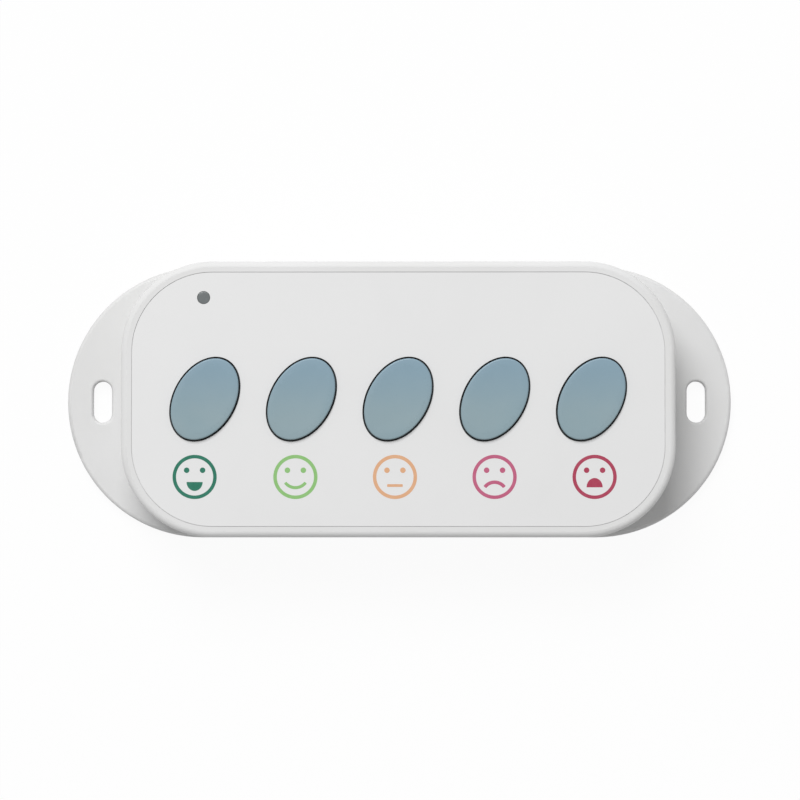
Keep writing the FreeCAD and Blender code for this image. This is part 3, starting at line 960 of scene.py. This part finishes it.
def finished_piece(name: str, mesh: Mesh, finish: Finish, body: str,
                   stands_for: tuple[str, ...] = ()) -> None:
    """Turns a mesh into a piece of the terminal that rides on its body.

    Args:
        name: The piece's name.
        mesh: Its mesh, already in its place; it is freed.
        finish: Its finish.
        body: The body that it rides on.
        stands_for: The CAD nodes that it is shown for.
    """
    bmesh.ops.remove_doubles(mesh, verts=mesh.verts, dist=MERGE_DISTANCE)
    bmesh.ops.recalc_face_normals(mesh, faces=mesh.faces)
    settle_order(mesh)
    for face in mesh.faces:
        face.smooth = True
    for edge in mesh.edges:
        edge.smooth = edge.calc_face_angle(0.0) < math.radians(SHARP_EDGE_DEGREES)
    data = bpy.data.meshes.new(name)
    mesh.to_mesh(data)
    mesh.free()
    data.materials.append(finish.material())
    piece = bpy.data.objects.new(name, data)
    bpy.context.scene.collection.objects.link(piece)
    if stands_for:
        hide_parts(*stands_for)
    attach(piece, body)
    LOG.info("piece %s: %d faces, %s, rides on %s", name, len(data.polygons), finish.name, body)


class SubAssembly:
    """A part of the terminal that is built and dressed together."""

    NODES: ClassVar[dict[str, Finish]] = {}

    def build(self) -> None:
        """Dresses the nodes that keep their shape, and reports each."""
        for node, finish in self.NODES.items():
            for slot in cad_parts[node].material_slots:
                slot.material = finish.material()
            LOG.info("node %s: %s", node, finish.name)


# ---------------------------------------------------------------- housing and printed film

@dataclass
class Housing(SubAssembly):
    """The two white mouldings that close the terminal; the rear shell wears a darker copy of the cover's
    white as painted shade.
    """

    NODES: ClassVar[dict[str, Finish]] = {"front_cover": COVER_ABS, "rear_shell": SHADED_SHELL_ABS}


@dataclass(frozen=True)
class Mouth:
    """The mouth of a printed face, drawn flat about the middle of the face."""

    def draw(self) -> Mesh:
        """Draws the mouth.

        Returns:
            The flat mesh.
        """
        raise NotImplementedError


@dataclass(frozen=True)
class OpenMouth(Mouth):
    """Half an oval with a flat side.

    Attributes:
        half_width: Half of the flat side.
        flat_y: Height of the flat side.
        far_y: Height of the far end of the curve.
    """

    half_width: float
    flat_y: float
    far_y: float

    def draw(self) -> Mesh:
        """Draws the mouth as a circle that is cut in half and stretched.

        Returns:
            The flat mesh.
        """
        mesh = bmesh.new()
        bmesh.ops.create_circle(mesh, cap_ends=True, segments=64, radius=MM)
        away = math.copysign(1, self.flat_y - self.far_y)
        bmesh.ops.bisect_plane(mesh, geom=[*mesh.verts, *mesh.edges, *mesh.faces], plane_co=(0, 0, 0),
                               plane_no=(0, away, 0), clear_outer=True)
        bmesh.ops.scale(mesh, vec=(self.half_width, abs(self.far_y - self.flat_y), 1), verts=mesh.verts)
        bmesh.ops.translate(mesh, vec=(0, self.flat_y * MM, 0), verts=mesh.verts)
        return mesh


@dataclass(frozen=True)
class StraightMouth(Mouth):
    """A level bar.

    Attributes:
        half_width: Half of its length.
        half_height: Half of its width.
        y: Height of its middle.
        corner: How far its corners are rounded.
    """

    half_width: float
    half_height: float
    y: float
    corner: float

    def draw(self) -> Mesh:
        """Draws the bar.

        Returns:
            The flat mesh.
        """
        mesh = bmesh.new()
        bmesh.ops.create_grid(mesh, x_segments=1, y_segments=1, size=MM)
        bmesh.ops.scale(mesh, vec=(self.half_width, self.half_height, 1), verts=mesh.verts)
        bmesh.ops.translate(mesh, vec=(0, self.y * MM, 0), verts=mesh.verts)
        soften_ends(mesh, self.corner)
        return mesh


@dataclass(frozen=True)
class CurvedMouth(Mouth):
    """A curved line: a smile or a frown.

    Attributes:
        middle: Angle of the line's middle, in degrees from +X.
        reach: Degrees from there to each end.
        radius: Radius of its curve.
        centre_y: Height of the curve's centre.
        stroke: Width of the line.
        corner: How far its corners are rounded.
    """

    middle: float
    reach: float
    radius: float
    centre_y: float
    stroke: float
    corner: float

    def draw(self) -> Mesh:
        """Draws the line.

        Returns:
            The flat mesh.
        """
        mesh = drawn_arc(self.radius, self.stroke, self.middle - self.reach, self.middle + self.reach)
        soften_ends(mesh, self.corner)
        bmesh.ops.translate(mesh, vec=(0, self.centre_y * MM, 0), verts=mesh.verts)
        return mesh


class Mood(Enum):
    """The five ratings, from the best to the worst."""

    GRIN = "grin"
    SMILE = "smile"
    LEVEL = "level"
    FROWN = "frown"
    DISMAY = "dismay"


@dataclass(frozen=True)
class Rating:
    """One printed face.

    Attributes:
        mood: What it says.
        x: Its place along the row.
        ink: Its ink.
        mouth: Its mouth.
    """

    mood: Mood
    x: float
    ink: ScreenInk
    mouth: Mouth


@dataclass
class FaceFilm(SubAssembly):
    """The printed film with its five rating faces.

    Attributes:
        row_y: Height of the row of faces.
        outer_radius: Outside of each face's ring.
        ring_stroke: Width of the ring's line.
        eye_radius: Radius of an eye.
        eye_x: From the middle to an eye.
        eye_y: From the middle up to the eyes.
        ink_height: Thickness of the ink on the film.
        ink_bite: How far the ink reaches into the film.
    """

    NODES: ClassVar[dict[str, Finish]] = {"front_overlay": WHITE_FILM}
    RATINGS: ClassVar[tuple[Rating, ...]] = (
        Rating(Mood.GRIN, x=-44.2, ink=ScreenInk("ink_green", (22, 107, 84)),
               mouth=OpenMouth(half_width=1.75, flat_y=-1.1, far_y=-3.04)),
        Rating(Mood.SMILE, x=-22.3, ink=ScreenInk("ink_light_green", (136, 188, 113)),
               mouth=CurvedMouth(middle=270, reach=53.0, radius=2.78, centre_y=0.45,
                                 stroke=0.68, corner=0.22)),
        Rating(Mood.LEVEL, x=-0.68, ink=ScreenInk("ink_orange", (220, 168, 128)),
               mouth=StraightMouth(half_width=1.7, half_height=0.3, y=-1.87, corner=0.16)),
        Rating(Mood.FROWN, x=20.95, ink=ScreenInk("ink_pink", (186, 88, 121)),
               mouth=CurvedMouth(middle=90, reach=53.5, radius=2.65, centre_y=-3.8,
                                 stroke=0.76, corner=0.32)),
        Rating(Mood.DISMAY, x=42.65, ink=ScreenInk("ink_red", (165, 53, 80)),
               mouth=OpenMouth(half_width=1.75, flat_y=-2.26, far_y=-0.24)),
    )

    row_y: float = -16.9
    outer_radius: float = 4.8
    ring_stroke: float = 0.76
    eye_radius: float = 0.6
    eye_x: float = 1.73
    eye_y: float = 1.45
    ink_height: float = 0.012
    ink_bite: float = 0.004

    def build(self) -> None:
        """Dresses the film and prints the faces on it."""
        super().build()
        film_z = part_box("front_overlay")[1].z
        for rating in self.RATINGS:
            mesh = self.face(rating.mouth)
            thicken(mesh, self.ink_height + self.ink_bite)
            bmesh.ops.translate(mesh, vec=(rating.x * MM, self.row_y * MM, film_z - self.ink_bite * MM),
                                verts=mesh.verts)
            finished_piece("face_print_" + rating.mood.value, mesh, rating.ink, "housing")

    def face(self, mouth: Mouth) -> Mesh:
        """Draws one face, flat, about the origin.

        Args:
            mouth: Its mouth.

        Returns:
            The flat mesh.
        """
        mesh = drawn_arc(self.outer_radius - self.ring_stroke / 2, self.ring_stroke, 0.0, 360.0)
        for side in (-1, 1):
            eye = bmesh.new()
            bmesh.ops.create_circle(eye, cap_ends=True, segments=32, radius=self.eye_radius * MM)
            bmesh.ops.translate(eye, vec=(side * self.eye_x * MM, self.eye_y * MM, 0), verts=eye.verts)
            add_mesh(mesh, eye)
        add_mesh(mesh, mouth.draw())
        return mesh


# ---------------------------------------------------------------- keys and status light

@dataclass
class KeyRow(SubAssembly):
    """The five keys with their switches.

    Attributes:
        length: Length of a cap.
        width: Its width.
        lean: Degrees that it leans to the right of upright.
        segments: Points round a cap.
        edge_radius: Round of its front edge.
        edge_bands: Bands in that round.
        dish: How far the middle of its face lies below the edge.
        face_shares: Places of the rings that shape the dish, from the middle of the face out.
        skirt_wall: Thickness of its side wall.
        flange_width: How far its retaining flange stands out.
        flange_height: Height of the flange.
        crown: Thickness of the cap's face.
        pad_radius: Radius of the pad that bears on the switch.
        pad_height: Height of the pad.
    """

    NODES: ClassVar[dict[str, Finish]] = {
        **{"switch_plunger_%d" % number: PLUNGER_NYLON for number in KEY_NUMBERS},
        **{"key_switch_%d" % number: SWITCH_BLACK for number in KEY_NUMBERS},
    }

    length: float = 19.0
    width: float = 13.0
    lean: float = 30.0
    segments: int = 96
    edge_radius: float = 0.3
    edge_bands: int = 8
    dish: float = 0.1
    face_shares: tuple[float, ...] = (0.04, 0.2, 0.4, 0.6, 0.8)
    skirt_wall: float = 1.5
    flange_width: float = 1.2
    flange_height: float = 1.0
    crown: float = 1.4
    pad_radius: float = 2.2
    pad_height: float = 0.4

    def build(self) -> None:
        """Dresses the plungers and switches and builds the caps."""
        super().build()
        for number in KEY_NUMBERS:
            self.cap(number)

    def rings(self, back_z: float, top_z: float) -> list[Ring]:
        """Rings of a cap, from the middle of its face round its edge and flange to its pad.

        Args:
            back_z: Height of the back of the flange.
            top_z: Height of the cap's edge.

        Returns:
            The rings, in order.
        """
        long, short = self.length / 2, self.width / 2
        face_long, face_short = long - self.edge_radius, short - self.edge_radius
        face = [Ring(face_long * share, face_short * share, top_z - self.dish * (1 - share * share))
                for share in self.face_shares]
        edge = edge_round(long, short, top_z, self.edge_radius, self.edge_bands)
        flange_z = back_z + self.flange_height
        crown_z = top_z - self.crown
        flange = [Ring(long, short, flange_z),
                  Ring(long + self.flange_width, short + self.flange_width, flange_z),
                  Ring(long + self.flange_width, short + self.flange_width, back_z)]
        hollow = [Ring(long - self.skirt_wall, short - self.skirt_wall, back_z),
                  Ring(long - self.skirt_wall, short - self.skirt_wall, crown_z),
                  round_ring(self.pad_radius, crown_z),
                  round_ring(self.pad_radius, crown_z - self.pad_height)]
        return face + edge + flange + hollow

    def cap(self, number: int) -> None:
        """Builds one cap in its place.

        Args:
            number: Its number in the row, from the left.
        """
        node = "key_cap_%d" % number
        low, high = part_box(node)
        mesh = ring_body(self.rings(low.z / MM, high.z / MM), self.segments)
        bmesh.ops.rotate(mesh, cent=(0, 0, 0), matrix=Matrix.Rotation(math.radians(90 - self.lean), 3, "Z"),
                         verts=mesh.verts)
        bmesh.ops.translate(mesh, vec=((low.x + high.x) / 2, (low.y + high.y) / 2, 0), verts=mesh.verts)
        finished_piece("oval_key_%d" % number, mesh, KEY_ABS, "key_%d" % number, (node,))


@dataclass
class StatusLight(SubAssembly):
    """The smoked lens and the light under it.

    Attributes:
        lens_radius: Radius of the lens.
        segments: Points round the lens.
        edge_radius: Round of its front edge.
        edge_bands: Bands in that round.
        crown: Height of its faint dome.
        crown_shares: Places of the rings that shape the dome, from the middle out.
        collar_height: Height of the collar behind the face.
        collar_depth: From the lens's face down to the front of the collar.
    """

    NODES: ClassVar[dict[str, Finish]] = {"status_led": LIGHT_BODY}

    lens_radius: float = 1.375
    segments: int = 64
    edge_radius: float = 0.12
    edge_bands: int = 6
    crown: float = 0.06
    crown_shares: tuple[float, ...] = (0.1, 0.35, 0.6, 0.85)
    collar_height: float = 0.8
    collar_depth: float = 2.25

    def build(self) -> None:
        """Dresses the light and builds the lens over it."""
        super().build()
        low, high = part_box("light_pipe")
        back_z, front_z = low.z / MM, high.z / MM
        collar_radius = (high.x - low.x) / 2 / MM
        collar_z = front_z - self.collar_depth
        collar_back_z = collar_z - self.collar_height
        edge_z = front_z - self.crown
        flat = self.lens_radius - self.edge_radius
        rings = [round_ring(flat * share, edge_z + self.crown * (1 - share * share))
                 for share in self.crown_shares]
        rings += edge_round(self.lens_radius, self.lens_radius, edge_z, self.edge_radius, self.edge_bands)
        rings += [round_ring(self.lens_radius, collar_z), round_ring(collar_radius, collar_z),
                  round_ring(collar_radius, collar_back_z), round_ring(self.lens_radius, collar_back_z),
                  round_ring(self.lens_radius, back_z)]
        mesh = ring_body(rings, self.segments)
        bmesh.ops.translate(mesh, vec=((low.x + high.x) / 2, (low.y + high.y) / 2, 0), verts=mesh.verts)
        finished_piece("status_lens", mesh, LENS_SMOKE, "housing", ("light_pipe",))


# ---------------------------------------------------------------- screws, board and cells

@dataclass
class PanScrews(SubAssembly):
    """Four pan-head screws that point up, each with a cross recess.

    Attributes:
        name: Name of the piece.
        node: The CAD node that they are shown for.
        head_radius: Radius of a head.
        head_height: Its height.
        shank_radius: Radius of the shank.
        tip: Length of the tapered tip.
        tip_share: Radius of the tip's end, as a share of the shank's.
        flat_share: Radius of the head's flat, as a share of the head's.
        dome_share: Height of the head's round, as a share of the head's.
        dome_bands: Bands in that round.
        segments: Points round a screw.
        turns: Degrees that each screw was left turned.
        blade_reach: From the middle to the end of a recess's arm.
        blade_width: Width of an arm.
        recess_depth: Depth of the recess.
        recess_taper: Size of the recess's floor, as a share of its mouth.
    """

    name: str
    node: str
    head_radius: float
    head_height: float
    shank_radius: float
    tip: float = 0.9
    tip_share: float = 0.4
    flat_share: float = 0.74
    dome_share: float = 0.7
    dome_bands: int = 5
    segments: int = 48
    turns: tuple[float, ...] = (12, 47, 71, 28)
    blade_reach: float = 1.35
    blade_width: float = 0.62
    recess_depth: float = 0.9
    recess_taper: float = 0.72

    def build(self) -> None:
        """Builds the four screws as one piece."""
        low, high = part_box(self.node)
        x = high.x / MM - self.head_radius
        y = high.y / MM - self.head_radius
        whole = bmesh.new()
        for turn, (across, up) in zip(self.turns, ((-x, -y), (x, -y), (-x, y), (x, y))):
            screw = self.screw(low.z / MM, high.z / MM)
            bmesh.ops.rotate(screw, cent=(0, 0, 0), matrix=Matrix.Rotation(math.radians(turn), 3, "Z"),
                             verts=screw.verts)
            bmesh.ops.translate(screw, vec=(across * MM, up * MM, 0), verts=screw.verts)
            add_mesh(whole, screw)
        finished_piece(self.name, whole, ZINC_STEEL, "housing", (self.node,))

    def screw(self, head_z: float, tip_z: float) -> Mesh:
        """One screw about the Z axis.

        Args:
            head_z: Height of the head's face, its lowest place.
            tip_z: Height of the tip.

        Returns:
            The mesh.
        """
        seat_z = head_z + self.head_height
        flat = self.head_radius * self.flat_share
        turns = (math.radians(90 * band / self.dome_bands) for band in range(1, self.dome_bands + 1))
        dome = [round_ring(flat + (self.head_radius - flat) * math.sin(t),
                           head_z + self.head_height * self.dome_share * (1 - math.cos(t))) for t in turns]
        rings = [round_ring(flat, head_z), *dome,
                 round_ring(self.head_radius, seat_z), round_ring(self.shank_radius, seat_z),
                 round_ring(self.shank_radius, tip_z - self.tip),
                 round_ring(self.shank_radius * self.tip_share, tip_z)]
        mesh = ring_body(rings, self.segments, first_open=True)
        add_mesh(mesh, self.recess(head_z))
        rim = [edge for edge in mesh.edges if edge.is_boundary]
        bmesh.ops.triangle_fill(mesh, edges=rim, use_beauty=True)
        return mesh

    def recess(self, head_z: float) -> Mesh:
        """The cross recess, open on the head's face.

        Args:
            head_z: Height of the head's face.

        Returns:
            The mesh of its walls and floor.
        """
        mesh = bmesh.new()
        bmesh.ops.create_grid(mesh, x_segments=3, y_segments=3, size=self.blade_reach * MM)
        arm = self.blade_width / 2 * MM
        third = self.blade_reach * MM / 3
        for axis, vec in enumerate(((arm / third, 1, 1), (1, arm / third, 1))):
            inner = [v for v in mesh.verts if abs(v.co[axis]) < 2 * third]
            bmesh.ops.scale(mesh, vec=vec, verts=inner)
        corners = [f for f in mesh.faces if min(abs(c) for c in f.calc_center_median().xy) > arm]
        bmesh.ops.delete(mesh, geom=corners, context="FACES")
        floor = bmesh.ops.extrude_face_region(mesh, geom=mesh.faces[:])["geom"]
        points = [part for part in floor if isinstance(part, bmesh.types.BMVert)]
        bmesh.ops.scale(mesh, vec=(self.recess_taper, self.recess_taper, 1), verts=points)
        bmesh.ops.translate(mesh, vec=(0, 0, self.recess_depth * MM), verts=points)
        bmesh.ops.translate(mesh, vec=(0, 0, head_z * MM), verts=mesh.verts)
        return mesh


@dataclass
class Electronics(SubAssembly):
    """The board and what it carries, out of sight in the closed housing."""

    NODES: ClassVar[dict[str, Finish]] = {
        "main_board": BOARD_GREEN,
        "radio_module": RADIO_BLUE,
        "radio_shield": TINNED_STEEL,
        "antenna_wire": WIRE_JACKET,
        "buzzer": SOUNDER_BLACK,
        "service_header": HEADER_PINS,
    }


@dataclass
class PowerPack(SubAssembly):
    """The two cells in their holders."""

    NODES: ClassVar[dict[str, Finish]] = {
        "battery_holder_1": HOLDER_BLACK,
        "battery_holder_2": HOLDER_BLACK,
        "aa_cell_1": CELL_PLUS_RIGHT,
        "aa_cell_2": CELL_PLUS_LEFT,
        "plate_contacts": NICKEL_SPRING,
        "spring_contacts": NICKEL_SPRING,
    }


# ---------------------------------------------------------------- studio

@dataclass
class Studio:
    """Floor, light and camera, with places and sizes in metres.

    Attributes:
        camera_place: Where the camera stands.
        camera_aim: The place that it looks at.
        lens_mm: Focal length, in millimetres.
        sensor_mm: Width of the sensor, in millimetres.
        lamp_way: Direction from the terminal to the window light.
        lamp_distance: Distance of that light.
        lamp_size: Its width.
        lamp_power: Its power in watts.
        ambient: Strength of the even light from all round.
        floor_size: Width of the floor.
        floor_drop: How far it lies below the terminal's back.
        floor_grey: Share of light that it gives back.
        floor_glow: Share of plain white that the camera sees in the floor.
        near: Nearest place that the camera sees.
        far: Farthest place that it sees.
    """

    camera_place: tuple[float, float, float] = (0.0084, -0.0235, 0.850)
    camera_aim: tuple[float, float, float] = (0.0003, 0.00015, 0.0132)
    lens_mm: float = 170.9
    sensor_mm: float = 36.0
    lamp_way: tuple[float, float, float] = (-0.19, 0.55, 0.82)
    lamp_distance: float = 2.5
    lamp_size: float = 1.45
    lamp_power: float = 49.3
    ambient: float = 0.365
    floor_size: float = 8.0
    floor_drop: float = 0.00002
    floor_grey: float = 0.88
    floor_glow: float = 0.94
    near: float = 0.01
    far: float = 20.0

    def build(self) -> None:
        """Sets floor, light, backdrop and camera, and leaves colours as they are written."""
        self.floor()
        self.lamp()
        self.world()
        self.camera()
        bpy.context.scene.view_settings.view_transform = "Standard"

    @staticmethod
    def seen(tree: Tree) -> Socket:
        """Finds where the camera, a reflection or a clear piece shows the backdrop.

        Args:
            tree: The tree of the backdrop.

        Returns:
            1 where it is seen so, and 0 where it only lights the terminal.
        """
        path = tree.add("ShaderNodeLightPath").outputs
        shown = tree.calculate("MAXIMUM", path["Is Camera Ray"], path["Is Glossy Ray"])
        return tree.calculate("MAXIMUM", shown, path["Is Transmission Ray"])

    def floor(self) -> None:
        """Lays a plain pale floor that is white to the eye and still takes the terminal's shadow."""
        mesh = bmesh.new()
        bmesh.ops.create_grid(mesh, x_segments=1, y_segments=1, size=self.floor_size / 2)
        bmesh.ops.translate(mesh, vec=(0, 0, -self.floor_drop), verts=mesh.verts)
        data = bpy.data.meshes.new("floor")
        mesh.to_mesh(data)
        mesh.free()
        material = bpy.data.materials.new("pale_floor")
        material.use_nodes = True
        tree = Tree(material.node_tree)
        grey = (self.floor_grey, self.floor_grey, self.floor_grey, 1.0)
        matt = tree.add("ShaderNodeBsdfDiffuse", {"Color": grey})
        glow = tree.add("ShaderNodeEmission", {"Color": WHITE, "Strength": 1.0})
        share = tree.calculate("MULTIPLY", self.seen(tree), self.floor_glow)
        mixed = tree.add("ShaderNodeMixShader", {0: share, 1: matt.outputs[0], 2: glow.outputs[0]})
        tree.add("ShaderNodeOutputMaterial", {"Surface": mixed.outputs[0]})
        data.materials.append(material)
        floor = bpy.data.objects.new("floor", data)
        bpy.context.scene.collection.objects.link(floor)
        LOG.info("floor %.1f m", self.floor_size)

    def lamp(self) -> None:
        """Hangs a wide soft light up and to the left."""
        data = bpy.data.lights.new("window_light", "AREA")
        data.shape = "DISK"
        data.size = self.lamp_size
        data.energy = self.lamp_power
        lamp = bpy.data.objects.new("window_light", data)
        way = Vector(self.lamp_way).normalized()
        lamp.location = way * self.lamp_distance
        lamp.rotation_euler = way.to_track_quat("Z", "Y").to_euler()
        bpy.context.scene.collection.objects.link(lamp)
        LOG.info("window light %.1f W", self.lamp_power)

    def world(self) -> None:
        """Gives even light from all round, with white behind the terminal."""
        world = bpy.data.worlds.new("studio")
        world.use_nodes = True
        tree = Tree(world.node_tree)
        even = tree.add("ShaderNodeBackground", {"Color": WHITE, "Strength": self.ambient})
        white = tree.add("ShaderNodeBackground", {"Color": WHITE, "Strength": 1.0})
        mixed = tree.add("ShaderNodeMixShader", {0: self.seen(tree), 1: even.outputs[0], 2: white.outputs[0]})
        tree.add("ShaderNodeOutputWorld", {"Surface": mixed.outputs[0]})
        bpy.context.scene.world = world
        LOG.info("even light %.3f", self.ambient)

    def camera(self) -> None:
        """Sets the camera over the terminal, with Y up in its picture."""
        data = bpy.data.cameras.new("camera")
        data.sensor_width = self.sensor_mm
        data.lens = self.lens_mm
        data.clip_start = self.near
        data.clip_end = self.far
        camera = bpy.data.objects.new("camera", data)
        camera.location = self.camera_place
        back = (Vector(self.camera_place) - Vector(self.camera_aim)).normalized()
        right = Vector((0, 1, 0)).cross(back).normalized()
        camera.rotation_euler = Matrix((right, back.cross(right), back)).transposed().to_euler()
        bpy.context.scene.collection.objects.link(camera)
        bpy.context.scene.camera = camera
        LOG.info("camera %.1f mm", self.lens_mm)


# ---------------------------------------------------------------- the whole scene


def main() -> None:
    """Builds the terminal and the studio round it."""
    logging.basicConfig(level=logging.INFO, format="%(name)s: %(message)s")
    assemblies = (
        Housing(),
        FaceFilm(),
        KeyRow(),
        StatusLight(),
        PanScrews("closing_screws", "cover_screws", head_radius=2.5, head_height=1.8, shank_radius=1.25),
        PanScrews("board_fixings", "board_screws", head_radius=2.0, head_height=1.4, shank_radius=0.95,
                  blade_reach=1.05, blade_width=0.5, recess_depth=0.7, tip=0.7),
        Electronics(),
        PowerPack(),
        Studio(),
    )
    for assembly in assemblies:
        LOG.info("building %s", type(assembly).__name__)
        assembly.build()


if __name__ == "__main__":
    main()
